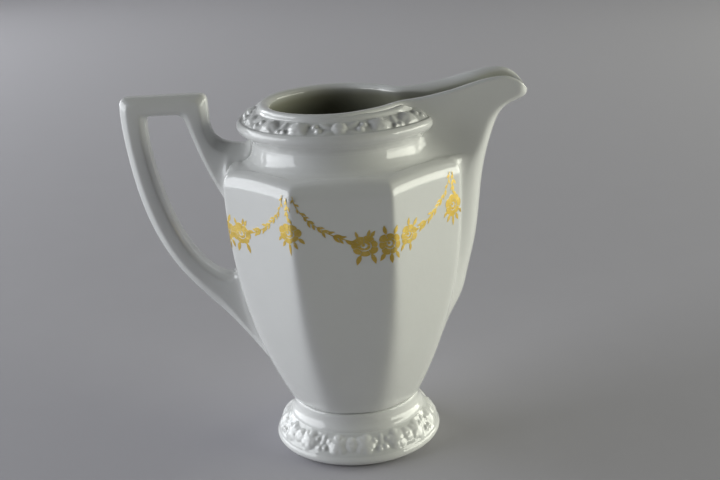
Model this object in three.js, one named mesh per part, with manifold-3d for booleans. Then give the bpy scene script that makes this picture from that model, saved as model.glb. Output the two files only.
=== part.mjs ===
// A porcelain cream jug: an eight-sided vessel on a round foot, with an angular loop handle opposite a
// high beaked spout, a relief frieze under the mouth and another round the foot, and a gilt garland.
// Millimetres, +Z up. The spout points along +X, the foot stands on z = 0.

import * as THREE from 'three';
import { mergeVertices } from 'three/addons/utils/BufferGeometryUtils.js';
import Module from 'manifold-3d';

const wasm = await Module();
wasm.setup();

// Driving dimensions.
const AXIS_X = 5.02; // the vessel's axis, measured from the middle of the jug's whole length
const JOINT_GAP = 0.3; // space left in every luted joint
const WALL = 2.8;
const SEGMENTS = 32; // round the vessel: a multiple of 16, so that every octagon corner has its own column
const SIDES = 8;

const FOOT_TOP = 17.4;
const FOOT_TOP_RADIUS = 23.0;
const SHOULDER_Z = 104.3; // height of the shoulder at the octagon's corners
const SHOULDER_RADIUS = 42.4; // to the octagon's corners
const SHOULDER_ROUND = 2.6;
const BELLY_CURVE = 2.4; // power of the belly's inward curve
const NECK_Z = 108.6;
const NECK_RADIUS = 29.9;
const MOUTH_Z = 123.6;
const MOUTH_RADIUS = 23.0;
const COLLAR_RADIUS = 28.0; // the plain wall behind the rim frieze
const FLOOR = 3.6;

const CREST_Z = 130; // the highest point of the spout, and of the jug
const SPOUT_TIP_X = 63.3;

// Small helpers.
const lerp = THREE.MathUtils.lerp;
const smoothstep = THREE.MathUtils.smoothstep;
const radians = THREE.MathUtils.degToRad;

function solidOf(geometry) {
  const merged = mergeVertices(
    new THREE.BufferGeometry()
      .setAttribute('position', geometry.getAttribute('position'))
      .setIndex(geometry.getIndex()),
    1e-4,
  );
  return new wasm.Manifold(
    new wasm.Mesh({
      numProp: 3,
      vertProperties: merged.getAttribute('position').array,
      triVerts: new Uint32Array(merged.getIndex().array),
    }),
  );
}

function geometryOf(solid) {
  const mesh = solid.getMesh();
  const geometry = new THREE.BufferGeometry();
  geometry.setAttribute('position', new THREE.BufferAttribute(mesh.vertProperties, mesh.numProp));
  geometry.setIndex(new THREE.BufferAttribute(mesh.triVerts, 1));
  geometry.computeVertexNormals();
  return geometry;
}

// A closed skin through rings of equally many points. Each end is closed by a fan about its middle.
function loft(rings) {
  const columns = rings[0].length;
  const middle = (ring) =>
    ring.reduce((sum, point) => sum.add(point), new THREE.Vector3()).divideScalar(ring.length);
  const points = [...rings.flat(), middle(rings[0]), middle(rings.at(-1))];
  const firstMiddle = rings.length * columns;
  const lastRow = (rings.length - 1) * columns;
  const index = [];
  for (let c = 0; c < columns; c++) {
    const d = (c + 1) % columns;
    for (let r = 0; r < rings.length - 1; r++) {
      const low = r * columns;
      const high = low + columns;
      index.push(low + c, low + d, high + d, low + c, high + d, high + c);
    }
    index.push(firstMiddle, d, c, firstMiddle + 1, lastRow + c, lastRow + d);
  }
  return solidOf(new THREE.BufferGeometry().setFromPoints(points).setIndex(index));
}

const lathe = (profile) =>
  solidOf(
    new THREE.LatheGeometry(profile.map(([r, z]) => new THREE.Vector2(r, z)), SEGMENTS).rotateX(Math.PI / 2),
  );

// The vessel's plan at any height: an octagon whose corners soften towards the foot.
function cornerRadius(z) {
  const down = Math.max(0, (SHOULDER_Z - z) / (SHOULDER_Z - FOOT_TOP));
  return SHOULDER_RADIUS - (SHOULDER_RADIUS - FOOT_TOP_RADIUS) * down ** BELLY_CURVE;
}

function octagon(angle, softness) {
  const power = 1 / softness;
  const reach = (a) => {
    let sum = 0;
    for (let side = 0; side < SIDES; side++) {
      sum += Math.max(0, Math.cos(a - (side * 2 * Math.PI) / SIDES)) ** power;
    }
    return sum ** (-1 / power);
  };
  return reach(angle) / reach(Math.PI / SIDES);
}

const softness = (z) => lerp(0.1, 0.011, smoothstep(z, FOOT_TOP, 70));
const bellyRadius = (angle, z) => cornerRadius(z) * octagon(angle, softness(z));

const ringAt = (pointAt) =>
  Array.from({ length: SEGMENTS }, (_, i) => {
    const angle = (i * 2 * Math.PI) / SEGMENTS;
    const [r, z] = pointAt(angle);
    return new THREE.Vector3(r * Math.cos(angle), r * Math.sin(angle), z);
  });

// The vessel's outside, ring by ring from the foot joint to the outer edge of the lip. A larger
// grow gives the same shape with every wall that much further out, for cutting its neighbours.
function outsideRings(grow = 0) {
  const rings = [];
  const base = FOOT_TOP + JOINT_GAP / 2 - grow;
  const facetTop = SHOULDER_Z - SHOULDER_ROUND;
  for (const z of [base, 21, 26, 32, 39, 47, 56, 66, 77, 89, facetTop]) {
    rings.push(ringAt((angle) => [bellyRadius(angle, Math.max(z, FOOT_TOP)) + grow, z]));
  }
  // The shoulder is a turned surface, so it meets each flat side a little higher than each corner.
  const edge = (angle) => {
    const r = bellyRadius(angle, SHOULDER_Z);
    return [r, SHOULDER_Z + (SHOULDER_RADIUS - r) * 0.25];
  };
  for (const turn of [30, 60, 88].map(radians)) {
    rings.push(
      ringAt((angle) => {
        const [r, z] = edge(angle);
        const round = SHOULDER_ROUND + grow;
        return [r - SHOULDER_ROUND + round * Math.cos(turn), z - SHOULDER_ROUND + round * Math.sin(turn)];
      }),
    );
  }
  for (const turn of [30, 60, 90].map(radians)) {
    rings.push(
      ringAt((angle) => {
        const [edgeRadius, z] = edge(angle);
        const r = edgeRadius - SHOULDER_ROUND;
        return [
          r - (r - NECK_RADIUS) * Math.sin(turn) + grow * Math.sin(turn),
          z + (NECK_Z - z) * (1 - Math.cos(turn)) + grow * Math.cos(turn),
        ];
      }),
    );
  }
  for (const [r, z] of [
    [NECK_RADIUS, 111.4],
    [COLLAR_RADIUS, 112.4],
    [COLLAR_RADIUS, 122.4],
    [27.1, 123.6],
  ]) {
    rings.push(ringAt(() => [r + grow, z]));
  }
  return rings;
}

// The hollow inside, from its floor up to the mouth, and on past it when it is used as a cutter.
function insideRings(above = 0) {
  const inner = (angle, z) => cornerRadius(z) * octagon(angle, softness(z) + 0.01) - WALL;
  const rings = [];
  for (const z of [FOOT_TOP + FLOOR, 26, 33, 43, 56, 72, 90, 101]) {
    const floorRound = z < FOOT_TOP + FLOOR + 1 ? 5 : 0;
    rings.push(ringAt((angle) => [inner(angle, z) - floorRound, z]));
  }
  for (const [r, z] of [
    [31.5, 103.2],
    [27.6, 105.4],
    [26.8, 109],
    [25.2, 115],
    [MOUTH_RADIUS, 121],
    [MOUTH_RADIUS, MOUTH_Z],
  ]) {
    rings.push(ringAt(() => [r, z]));
  }
  if (above) rings.push(ringAt(() => [MOUTH_RADIUS, MOUTH_Z + above]));
  return rings;
}

const CAVITY = loft(insideRings(20));
const VESSEL_ENVELOPE = loft(outsideRings(JOINT_GAP));

// The spout is a beak: each level is a blunt outline in plan, and the levels tilt up into the lip line.
const LIP_LINE = new THREE.SplineCurve(
  [
    [-30, MOUTH_Z],
    [8, MOUTH_Z],
    [20, 123.4],
    [30, 125.2],
    [40, 127.7],
    [48, 129.5],
    [54, CREST_Z],
    [59.4, 128.9],
    [SPOUT_TIP_X, 123.7],
  ].map(([x, z]) => new THREE.Vector2(x, z)),
);

// The nose is the spout's front edge, from where it leaves the belly up to the tip.
const NOSE = new THREE.SplineCurve(
  [
    [31.2, 41.5],
    [35.6, 45.4],
    [38.8, 51.0],
    [42.0, 61.5],
    [44.6, 73],
    [46.4, 85],
    [47.8, 96],
    [49.9, 105.6],
    [52.6, 113.2],
    [56.2, 118.8],
    [SPOUT_TIP_X, 123.7],
  ].map(([x, z]) => new THREE.Vector2(x, z)),
);

const BEAK_POWER = 2.5; // how square the outline is
const BEAK_POINTS = 18;
const BEAK_LEVELS = 20;

function heightOn(curve, x) {
  const points = curve.getPoints(120);
  const after = points.findIndex((p) => p.x >= x);
  if (after < 0) return points.at(-1).y;
  if (after === 0) return points[0].y;
  const [a, b] = [points[after - 1], points[after]];
  return lerp(a.y, b.y, (x - a.x) / (b.x - a.x));
}

// inset moves the walls inward, and lift carries the top on past the lip.
function beak(inset, lift) {
  const levels = [];
  for (let level = 0; level <= BEAK_LEVELS; level++) {
    const nose = NOSE.getPoint(level / BEAK_LEVELS);
    const tilt = smoothstep(nose.y, 98, 124);
    const back = lerp(cornerRadius(nose.y) * 0.924 - 9, 16, smoothstep(nose.y, 96, 112));
    const spread = lerp(13.6, 11.6, smoothstep(nose.y, 70, 120));
    const width = spread * Math.sqrt(smoothstep(nose.y, 38, 60)) - inset;
    const front = nose.x - inset;
    const points = [];
    for (let i = 0; i <= BEAK_POINTS; i++) {
      const turn = Math.PI * (i / BEAK_POINTS - 0.5);
      const x = back + Math.abs(Math.cos(turn)) ** (2 / BEAK_POWER) * (front - back);
      const y = Math.sign(turn) * Math.abs(Math.sin(turn)) ** (2 / BEAK_POWER) * width;
      const z = nose.y + tilt * (heightOn(LIP_LINE, x) - heightOn(LIP_LINE, nose.x));
      points.push(new THREE.Vector3(x, y, z));
    }
    levels.push(points);
  }
  if (lift) levels.push(levels.at(-1).map((p) => new THREE.Vector3(p.x, p.y, p.z + lift)));
  return loft(levels);
}

const SPOUT_ENVELOPE = beak(-JOINT_GAP, 12);

function makeVessel() {
  const rings = [...outsideRings(), ringAt(() => [25.4, 124.2]), ...insideRings().reverse()];
  return loft(rings).subtract(SPOUT_ENVELOPE);
}

function makeSpout() {
  return beak(0, 0).subtract(beak(WALL, 12)).subtract(CAVITY);
}

// The handle is cut from one flat outline, with its long edges chamfered.
const HANDLE_WIDTH = 8.4;
const HANDLE_CHAMFER = 1.8;

function makeHandle() {
  const inset = HANDLE_CHAMFER;
  const outline = new THREE.Shape();
  outline.moveTo(-26, 110.6 - inset);
  outline.lineTo(-34, 110.6 - inset);
  outline.bezierCurveTo(-40, 110.8 - inset, -43.4 - inset, 112.5, -43.9 - inset, 119);
  outline.lineTo(-43.7 - inset, 126.2);
  outline.lineTo(-44.6 - inset, 127.9 - inset);
  outline.lineTo(-72 + inset, 127.9 - inset);
  outline.lineTo(-73.4 + inset, 126.4);
  outline.bezierCurveTo(-73.6 + inset, 106, -69 + inset, 78, -54 + inset, 60.5 + inset);
  outline.bezierCurveTo(-46, 52 + inset, -38, 42 + inset, -31, 33 + inset);
  outline.lineTo(-24, 33 + inset);
  outline.lineTo(-24, 68 - inset);
  outline.lineTo(-37.6, 68 - inset);
  outline.bezierCurveTo(-42, 63 - inset, -46.5, 66.4 - inset, -52 - inset, 72.5);
  outline.bezierCurveTo(-60 - inset, 83, -64.6 - inset, 102, -65 - inset, 119.6);
  outline.lineTo(-63.2, 121.6 + inset);
  outline.lineTo(-53.4, 121.6 + inset);
  outline.lineTo(-51.5 + inset, 119.6);
  outline.bezierCurveTo(-49.4 + inset, 110, -46 + inset, 101, -37 + inset, 84);
  outline.lineTo(-26, 84);
  outline.closePath();
  const geometry = new THREE.ExtrudeGeometry(outline, {
    depth: HANDLE_WIDTH - 2 * HANDLE_CHAMFER,
    bevelThickness: HANDLE_CHAMFER,
    bevelSize: HANDLE_CHAMFER,
    bevelSegments: 1,
    curveSegments: 12,
  });
  geometry.translate(0, 0, HANDLE_CHAMFER - HANDLE_WIDTH / 2).rotateX(Math.PI / 2);
  geometry.deleteAttribute('normal').deleteAttribute('uv');
  const merged = mergeVertices(geometry, 1e-4);
  return solidOf(merged).subtract(VESSEL_ENVELOPE);
}

// Turned pieces: radius and height, anticlockwise seen with the axis on the left.
const FRIEZE_DEPTH = 1.2; // how far each frieze is let in
const FOOT_FRIEZE = [
  [29.4, 4.0],
  [28.5, 5.7],
  [27.0, 7.6],
  [25.6, 9.3],
  [24.5, 11.0],
];

function makeFoot() {
  const letIn = FOOT_FRIEZE.map(([r, z]) => [r - FRIEZE_DEPTH - JOINT_GAP, z]);
  return lathe([
    [17.2, FOOT_TOP - JOINT_GAP / 2],
    [18.2, 12],
    [22.4, 1.2],
    [23.6, 0],
    [26.4, 0],
    [28.4, 0.8],
    [29.5, 2.0],
    [29.6, 3.0],
    [29.5, 3.7],
    ...letIn,
    [24.2, 11.4],
    [23.3, 12.5],
    [22.8, 14.2],
    [22.6, FOOT_TOP - JOINT_GAP / 2],
    [17.2, FOOT_TOP - JOINT_GAP / 2],
  ]);
}

function makeFootFrieze() {
  const back = FOOT_FRIEZE.map(([r, z]) => [r - FRIEZE_DEPTH, z]).reverse();
  return lathe([...FOOT_FRIEZE, ...back, FOOT_FRIEZE[0]]);
}

function makeRimFrieze() {
  const inside = COLLAR_RADIUS + JOINT_GAP;
  return lathe([
    [inside, 112.7],
    [31.0, 113.0],
    [33.2, 114.9],
    [34.6, 117.2],
    [34.4, 118.5],
    [32.9, 119.5],
    [30.6, 120.7],
    [28.6, 122.2],
    [inside, 122.1],
    [inside, 112.7],
  ]).subtract(SPOUT_ENVELOPE);
}

// Gilding: thin strips that follow the vessel's sides. Angles are in degrees round from the spout, and
// side is 1 for the jug's left and -1 for its right.
const GILT_LIFT = 0.35;
const GILT_THICKNESS = 0.25;
const CORNER = 360 / SIDES / 2;

function onBelly(degrees, z, out) {
  const angle = radians(degrees);
  const r = bellyRadius(angle, z) + out;
  return new THREE.Vector3(r * Math.cos(angle), r * Math.sin(angle), z);
}

// Each station is a list of [degrees, z] across the strip; the strip is lofted from one to the next.
function strip(side, stations) {
  const rings = stations.map((across) => [
    ...across.map(([degrees, z]) => onBelly(side * degrees, z, GILT_LIFT)),
    ...across.toReversed().map(([degrees, z]) => onBelly(side * degrees, z, GILT_LIFT + GILT_THICKNESS)),
  ]);
  const made = loft(rings);
  return made.volume() > 0 ? made : loft(rings.toReversed());
}

// A swag hangs over two sides from its ends near the corners, and is widest at the flowers in its middle.
// Its stations divide each half side evenly, so that one stands on every corner it bends over.
const SWAG_STEP = CORNER / 5;
const SWAG_SPAN = 18 * SWAG_STEP;
const SWAG_TOP = 101.8;
const SWAG_SAG = 17.6;

function makeSwag(side, start, way, share = 1) {
  const stations = [];
  const first = Math.round(start / SWAG_STEP);
  for (let i = 0; i * SWAG_STEP <= SWAG_SPAN * share; i++) {
    const degrees = i ? (first + way * i) * SWAG_STEP : start;
    const along = Math.min(Math.abs(degrees - start) / SWAG_SPAN, 1);
    const sag = 4 * along * (1 - along);
    const z = SWAG_TOP - SWAG_SAG * sag ** 0.55;
    const half = 1.4 + 3.2 * smoothstep(sag, 0.7, 0.95);
    stations.push([
      [degrees, z - half],
      [degrees, z + half],
    ]);
  }
  return strip(side, stations);
}

// A drop hangs straight down: a sprig, one flower and a leafy tail.
function makeDrop(side, degrees) {
  const shape = [
    [100.6, 0.4],
    [97.6, 1.4],
    [93, 1.6],
    [90.5, 3.6],
    [87, 3.6],
    [84.6, 1.4],
    [82, 0.5],
  ];
  return strip(
    side,
    shape.map(([z, half]) => {
      const reach = THREE.MathUtils.radToDeg(half / cornerRadius(z));
      return [
        [degrees - reach, z],
        [degrees, z],
        [degrees + reach, z],
      ];
    }),
  );
}

const GLAZE = new THREE.MeshStandardMaterial({ color: 0xe9eae6, roughness: 0.12, metalness: 0 });
const GOLD = new THREE.MeshStandardMaterial({ color: 0xc99a2e, roughness: 0.28, metalness: 1 });

const jug = new THREE.Group();
jug.position.x = AXIS_X;

function add(name, solid, material) {
  const mesh = new THREE.Mesh(geometryOf(solid), material);
  mesh.name = name;
  jug.add(mesh);
}

add('vessel', makeVessel(), GLAZE);
add('spout', makeSpout(), GLAZE);
add('handle', makeHandle(), GLAZE);
add('foot', makeFoot(), GLAZE);
add('foot_frieze', makeFootFrieze(), GLAZE);
add('rim_frieze', makeRimFrieze(), GLAZE);

for (const [name, side] of [
  ['left', 1],
  ['right', -1],
]) {
  const spoutDrop = CORNER + 5.5;
  const sideDrop = 5 * CORNER;
  add(`gilt_swag_${name}`, makeSwag(side, sideDrop - 1.5, -1), GOLD);
  add(`gilt_handle_swag_${name}`, makeSwag(side, sideDrop + 4, 1, 0.68), GOLD);
  add(`gilt_drop_spout_${name}`, makeDrop(side, spoutDrop).subtract(SPOUT_ENVELOPE), GOLD);
  add(`gilt_drop_side_${name}`, makeDrop(side, sideDrop), GOLD);
}

export default new THREE.Group().add(jug);
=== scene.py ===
"""The looks of a porcelain cream jug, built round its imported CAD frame.

Shapes are worked out in millimetres from the vessel's own axis, with +X to the spout, and are moved into
the frame's metres when each mesh is made. Sizes that the CAD settles come from its nodes' boxes.
"""

import math

import bpy
import numpy as np
from mathutils import Matrix, Vector
from mathutils.bvhtree import BVHTree


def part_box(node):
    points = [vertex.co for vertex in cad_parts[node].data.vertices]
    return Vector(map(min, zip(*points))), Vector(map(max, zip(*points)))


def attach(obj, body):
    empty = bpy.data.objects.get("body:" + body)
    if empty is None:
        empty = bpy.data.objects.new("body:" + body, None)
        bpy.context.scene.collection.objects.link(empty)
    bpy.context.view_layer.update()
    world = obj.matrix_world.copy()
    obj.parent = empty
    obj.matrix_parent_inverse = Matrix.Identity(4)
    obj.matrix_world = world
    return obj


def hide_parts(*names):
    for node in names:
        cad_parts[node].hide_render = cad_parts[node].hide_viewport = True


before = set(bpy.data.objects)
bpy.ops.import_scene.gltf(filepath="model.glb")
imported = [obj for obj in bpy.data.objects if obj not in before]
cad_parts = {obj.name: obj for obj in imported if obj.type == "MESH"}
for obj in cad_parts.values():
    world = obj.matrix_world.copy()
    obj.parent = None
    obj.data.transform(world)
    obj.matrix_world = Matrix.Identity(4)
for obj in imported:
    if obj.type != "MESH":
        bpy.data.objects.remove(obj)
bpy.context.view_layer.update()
MM = 0.001


def box_mm(node):
    """A CAD node's lowest and highest corners in millimetres."""
    low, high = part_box(node)
    return np.array(low) / MM, np.array(high) / MM


# ---------------------------------------------------------------- driving dimensions, from the frame
FOOT_LOW, FOOT_HIGH = box_mm("foot")
VESSEL_LOW, VESSEL_HIGH = box_mm("vessel")
SPOUT_HIGH = box_mm("spout")[1]
HANDLE_LOW, HANDLE_HIGH = box_mm("handle")
RIM_HIGH = box_mm("rim_frieze")[1]

AXIS_X = (FOOT_LOW[0] + FOOT_HIGH[0]) / 2
SEAM_Z = (FOOT_HIGH[2] + VESSEL_LOW[2]) / 2
SIDE_Y = VESSEL_HIGH[1]  # from the axis to the middle of a flat side
LIP_Z = VESSEL_HIGH[2]
TIP_X = SPOUT_HIGH[0] - AXIS_X
CREST_Z = SPOUT_HIGH[2]
BEAD_RADIUS = RIM_HIGH[1]
HANDLE_BACK = HANDLE_LOW[0] - AXIS_X
HANDLE_TOP = HANDLE_HIGH[2]
HANDLE_HALF = HANDLE_HIGH[1]

SHOULDER_Z = 104.0
SHOULDER_DROP = 5.3  # how far below it the wall begins to turn in
CORNER_RADIUS = SIDE_Y / 0.931  # to the softened corners of the octagon
SEAM_RADIUS = 23.0
MOUTH_EDGE = 26.2  # where the plain lip meets the frieze
OUTER_TOP = LIP_Z - 1.2  # where the outside turns over into the lip
INNER_TOP = LIP_Z - 1.7  # and the inside
NECK_FOOT_Z = 106.4  # the inside of the neck ends here, and widens
WALL_TOP_Z = 98.0  # into the belly's wall, from here down
WALL = 2.8
SPOUT_WALL = 3.0
SPOUT_SEAM_Z = 40.0  # the low end of the spout's own casting
FLOOR_Z = SEAM_Z + 3.6
SPOUT_REACH = 0.8  # radians: further round than this the spout doesn't touch the wall
CORNER = 22.5  # degrees from the spout to the first corner of the octagon
CORNERS = np.radians(np.arange(CORNER, 360, 2 * CORNER))


# ---------------------------------------------------------------- small helpers
def smoothstep(x, low, high):
    t = np.clip((np.asarray(x, float) - low) / (high - low), 0, 1)
    return t * t * (3 - 2 * t)


def mix(a, b, share):
    return a + (b - a) * share


def soft_max(a, b, blend):
    """The larger of two values, filleted where they cross."""
    near = np.clip(blend - np.abs(a - b), 0, None) / blend
    return np.maximum(a, b) + near * near * blend / 4


def spline(points):
    """A smooth curve through points: its value at any first coordinate."""
    x, y = np.array(points, float).T
    step = np.diff(x)
    matrix = np.eye(len(x))
    right = np.zeros(len(x))
    for i in range(1, len(x) - 1):
        matrix[i, i - 1 : i + 2] = step[i - 1], 2 * (step[i - 1] + step[i]), step[i]
        right[i] = 6 * ((y[i + 1] - y[i]) / step[i] - (y[i] - y[i - 1]) / step[i - 1])
    bend = np.linalg.solve(matrix, right)

    def value(at):
        at = np.asarray(at, float)
        i = np.clip(np.searchsorted(x, at) - 1, 0, len(step) - 1)
        a, b = x[i + 1] - at, at - x[i]
        h = step[i]
        inside = (bend[i] * a**3 + bend[i + 1] * b**3) / (6 * h)
        inside += (y[i] / h - bend[i] * h / 6) * a + (y[i + 1] / h - bend[i + 1] * h / 6) * b
        slopes = [
            (y[1] - y[0]) / step[0] - step[0] * bend[1] / 6,
            (y[-1] - y[-2]) / step[-1] + step[-1] * bend[-2] / 6,
        ]
        below = y[0] + slopes[0] * (at - x[0])
        above = y[-1] + slopes[1] * (at - x[-1])
        return np.where(at < x[0], below, np.where(at > x[-1], above, inside))

    return value


def from_polar(radius, angle, z):
    radius, angle, z = np.broadcast_arrays(radius, angle, z)
    return np.stack([radius * np.cos(angle), radius * np.sin(angle), z], -1)


def to_polar(points, behind):
    """Radius, angle and height of a ring of points, whose point number behind lies opposite the spout."""
    angle = np.arctan2(points[:, 1], points[:, 0])
    angle[behind] = math.pi
    return np.hypot(points[:, 0], points[:, 1]), angle, points[:, 2]


def unit(vectors):
    return vectors / np.maximum(np.linalg.norm(vectors, axis=-1, keepdims=True), 1e-12)


def make_piece(name, points, faces, material, replaced, normals=None, shades=None):
    """A mesh object riding on the jug, from points in millimetres.

    shades is a value for each point: above 0, shade painted into the relief's hollows, where the glaze pools;
    below 0, shade painted inside the jug, by how far inside it is.
    """
    mesh = bpy.data.meshes.new(name)
    placed = (np.asarray(points, float).reshape(-1, 3) + [AXIS_X, 0, 0]) * MM
    mesh.from_pydata(placed.tolist(), [], [tuple(int(i) for i in face) for face in faces])
    mesh.validate()
    for polygon in mesh.polygons:
        polygon.use_smooth = True
    if shades is not None:
        attribute = mesh.attributes.new("glaze_pool_and_painted_shade", "FLOAT", "POINT")
        attribute.data.foreach_set("value", np.asarray(shades, np.float32).ravel())
    mesh.update()
    if normals is not None:
        mesh.normals_split_custom_set_from_vertices(normals.tolist())
    mesh.materials.append(material)
    piece = bpy.data.objects.new(name, mesh)
    bpy.context.scene.collection.objects.link(piece)
    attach(piece, "root")
    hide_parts(*replaced)


def grid_faces(rows, columns, closed=True, offset=0):
    """Quads over a grid of points, outward when columns run anticlockwise and rows run up."""
    faces = []
    for r in range(rows - 1):
        for c in range(columns if closed else columns - 1):
            d = (c + 1) % columns
            low, high = offset + r * columns, offset + (r + 1) * columns
            faces.append((low + c, low + d, high + d, high + c))
    return faces


# ---------------------------------------------------------------- the vessel's shape
def depth_share(z):
    """How far down the belly a height is: 0 at the shoulder and 1 at the foot."""
    return np.clip((SHOULDER_Z - z) / (SHOULDER_Z - SEAM_Z), 0, 1)


def body_corner(z):
    """The octagon's corner radius at a height: the belly tapers to the foot."""
    return CORNER_RADIUS - (CORNER_RADIUS - SEAM_RADIUS) * depth_share(z) ** 2.4


def octagon(angle, z):
    """How far out the wall stands at an angle, as a share of the corner radius; it rounds out lower down."""
    down = depth_share(z)
    power = 1 / (0.0068 + 0.055 * down**1.7 + 0.03 * down**6)

    def reach(a):
        total = 0
        for side in range(8):
            total = total + np.maximum(0, np.cos(a - side * math.pi / 4)) ** power
        return total ** (-1 / power)

    return reach(angle) / reach(math.pi / 8)


def body_radius(angle, z):
    return body_corner(z) * octagon(angle, np.asarray(z, float))


# The spout in plan is a prow: two nearly straight sides closing on a short, blunt nose.
# nose_at is its reach at a height, crest_at its lip's height at a distance out, and side_at its half width.
nose_at = spline(
    [(29, -8), (38, 26.5), (45.4, 34.6), (51, 38.2), (61.5, 41.7), (73, 44.5), (85, 46.3)]
    + [(96, 47.7), (105.6, 49.8), (113.2, 52.3), (116, 53.6), (118.5, 55.4), (120.9, 58.3)]
    + [(122.5, 61.2), (123.8, TIP_X), (126.5, TIP_X + 1.5)]
)
crest_at = spline(
    [(0, LIP_Z), (10, LIP_Z + 0.1), (18, LIP_Z + 0.15), (22, LIP_Z + 0.3), (26, 124.8), (30, 125.35)]
    + [(34, 126.1), (38, 126.9), (42, 127.9), (46, 128.9), (50, 129.7), (53.5, CREST_Z), (56, 129.85)]
    + [(58.5, 129.0), (61, 127.2), (62.6, 125.2), (TIP_X + 0.5, 123.4)]
)
side_at = spline(
    [(18, 13.0), (26, 12.2), (32, 12.0), (38, 11.6), (44, 10.9), (50, 10.3), (56, 9.7), (62, 9.3)]
)


def prow(x, z, inset):
    """Half the width of the spout at a place along it."""
    nose = nose_at(z) - inset
    cap = mix(8.0, 5.0, smoothstep(z, 96, 110))  # the length that its nose takes to round off
    lean = 0.9 * (1 - smoothstep(z, 96, 118))
    along = x + (nose_at(LIP_Z) - nose_at(z)) * 0.5
    half = side_at(np.clip(along, 18, 62)) + lean - inset
    past = np.clip((x - nose + cap) / cap, 0, 1)
    return half * (1 - past**2.4) ** (1 / 2.2)


def prow_radius(angle, height_at, inset_at=lambda x: 0.0):
    """The spout's distance from the axis at an angle, with its height and inset at each distance out."""
    angle = np.atleast_1d(np.abs(angle))
    low, high = np.zeros(angle.shape), np.full(angle.shape, 90.0)
    for _ in range(44):  # halvings, down to rounding error
        middle = (low + high) / 2
        x = middle * np.cos(angle)
        outside = middle * np.sin(angle) > prow(x, height_at(x), inset_at(x)) - 1e-9
        high = np.where(outside, middle, high)
        low = np.where(outside, low, middle)
    return np.where(angle < math.radians(75), low, 0)  # none of the spout is further round than this


def outer_radius(angle, z, body):
    """The jug's outside at an angle and height, where body is the vessel's own radius there."""
    angle, z = np.broadcast_arrays(angle, z)
    spout, near = np.zeros(angle.shape), np.abs(angle) < SPOUT_REACH
    if near.any():
        spout[near] = prow_radius(angle[near], lambda x: z[near])
    blend = 4.0 + 5.5 * np.exp(-(((z - 106) / 5.0) ** 2))
    return soft_max(body, spout, blend)


# Columns of the vessel's skin run from the foot to the lip. Those of the spout are spread along its edge.
SPOUT_COLUMNS = 46
BODY_COLUMNS = 122
SPOUT_ROOT = math.radians(20.5)  # where the spout's skin ends on the belly, just before the corner
LIP_ROOT = math.radians(26.5)  # and at the lip

# The mouth's ring is a little narrower towards the spout: its radius at degrees from the spout.
ring_radius = spline(
    [(0, 21.5), (23, 21.5), (41, 23.3), (54, 23.6), (66, 24.1), (76, 24.8), (90, 25.5), (180, 25.5)]
)


def lip_edge(angle):
    """The lip's crest at an angle: radius, height, and how wide and deep it falls away outside and inside."""

    def edge_height(x):
        return crest_at(np.clip(x, 0, None)) - mix(1.0, 0.4, smoothstep(x, 57, 62.5))

    spout = prow_radius(angle, edge_height, lambda x: mix(1.15, 0.45, smoothstep(x, 56, 62)))
    near_tip = smoothstep(spout * np.cos(angle), 56, 62)
    radius = soft_max(ring_radius(np.degrees(np.abs(angle))), spout, 6.5)
    height = crest_at(np.clip(radius * np.cos(angle), 0, None))
    on_spout = smoothstep(radius, 26, 33)
    slim = smoothstep(radius * np.cos(angle), 44, 58)
    out_wide = mix(mix(1.3, 1.15, on_spout), 0.5, near_tip)
    out_deep = mix(1.25, 0.55, near_tip)
    in_wide = mix(mix(2.7, 3.4, on_spout), 1.3, slim)
    in_deep = mix(mix(1.8, 3.0, on_spout), 1.5, slim)
    return radius, height, out_wide, out_deep, in_wide, in_deep


def spread(angles, density, count):
    """count + 1 angles between the first and last, closer together where density is high."""
    total = np.concatenate([[0], np.cumsum((density[1:] + density[:-1]) / 2 * np.diff(angles))])
    return np.interp(np.linspace(0, total[-1], count + 1), total, angles)


def column_angles():
    """Each column's angle on the belly and at the lip, for the half from the spout's tip to the handle."""
    fine = np.linspace(0, SPOUT_ROOT, 400)
    belly_spout = spread(fine, 1 + 0.8 * np.exp(-((fine / math.radians(9)) ** 2)), SPOUT_COLUMNS)
    fine = np.linspace(SPOUT_ROOT, math.pi, 2000)
    near = sum(np.exp(-(((fine - c) / math.radians(2.6)) ** 2)) for c in CORNERS)
    belly_body = spread(fine, 1 + 2.2 * near, BODY_COLUMNS)
    fine = np.linspace(0, LIP_ROOT, 1500)
    radius, height = lip_edge(fine)[:2]
    edge = from_polar(radius, fine, height)
    length = np.concatenate([[0], np.linalg.norm(np.diff(edge, axis=0), axis=1)])
    density = np.gradient(np.cumsum(length), fine)
    lip_spout = spread(fine, density, SPOUT_COLUMNS)
    lip_body = np.linspace(LIP_ROOT, math.pi, BODY_COLUMNS + 1)
    belly = np.concatenate([belly_spout, belly_body[1:]])
    lip = np.concatenate([lip_spout, lip_body[1:]])
    return belly, lip


def both_sides(half):
    """Angles all the way round, from the half on the left: the spout's tip is column 0."""
    return np.concatenate([half, -half[-2:0:-1]])


# How the wall rolls in to the shoulder, as (inset, rise), and the neck above it, as (radius, height).
SHOULDER_ROLL = [(0, -SHOULDER_DROP), (0.06, -4.3), (0.22, -3.3), (0.5, -2.3), (0.95, -1.4), (1.6, -0.55)]
SHOULDER_ROLL += [(2.5, 0.05), (3.7, 0.5), (5.2, 0.85)]
NECK_PROFILE = [(34.0, 105.35), (32.8, 105.9), (31.8, 106.6), (31.0, 107.6), (30.4, 108.8), (30.1, 110.0)]
NECK_PROFILE += [(29.95, 111.0), (29.9, 111.7), (29.6, 112.4), (28.9, 113.1), (28.4, 114.0)]


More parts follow.
